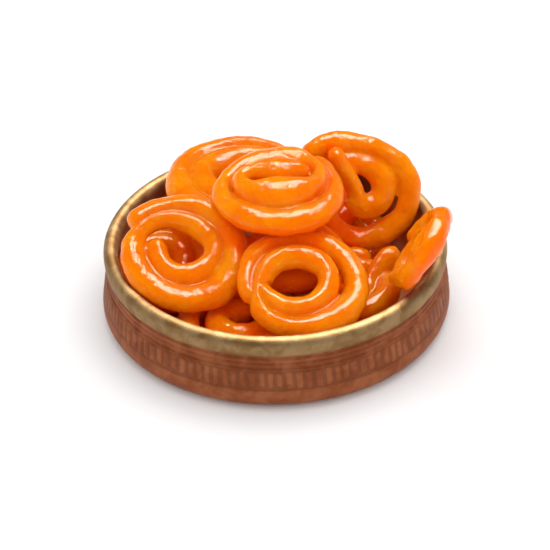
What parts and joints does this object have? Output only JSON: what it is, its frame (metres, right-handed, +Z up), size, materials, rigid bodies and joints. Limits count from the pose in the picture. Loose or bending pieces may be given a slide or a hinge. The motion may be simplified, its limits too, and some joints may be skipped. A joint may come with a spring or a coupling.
{
  "type": "bowl of jalebi",
  "caption": "Shallow round copper dish with a wide brass lip, heaped with spiral syrup-soaked jalebi sweets.",
  "frame": {"origin": "middle of the bowl's flat foot, on the surface it stands on", "axes": "+Z up out of the bowl; -Y towards the front, the side the two lowest upper spirals face; +X to the right of someone who looks at the front"},
  "size_m": [0.1632, 0.1632, 0.0779],
  "materials": {
    "antique copper": "antique copper with fine hammered ribs outside, warm polished brass lip and inside",
    "syrup orange": "fried batter soaked in syrup: glossy, slightly translucent orange with small bumps"
  },
  "bodies": {
    "root": {"bowl": "antique copper", "jalebi_front_left": "syrup orange", "jalebi_front": "syrup orange", "jalebi_top": "syrup orange", "jalebi_back_left": "syrup orange", "jalebi_back_right": "syrup orange", "jalebi_right": "syrup orange", "jalebi_low_right": "syrup orange", "jalebi_low_front": "syrup orange", "jalebi_low_left": "syrup orange", "jalebi_low_back": "syrup orange", "jalebi_middle": "syrup orange", "jalebi_floor_front": "syrup orange", "jalebi_floor_right": "syrup orange", "jalebi_floor_back": "syrup orange", "jalebi_floor_left": "syrup orange"}
  },
  "joints": []
}
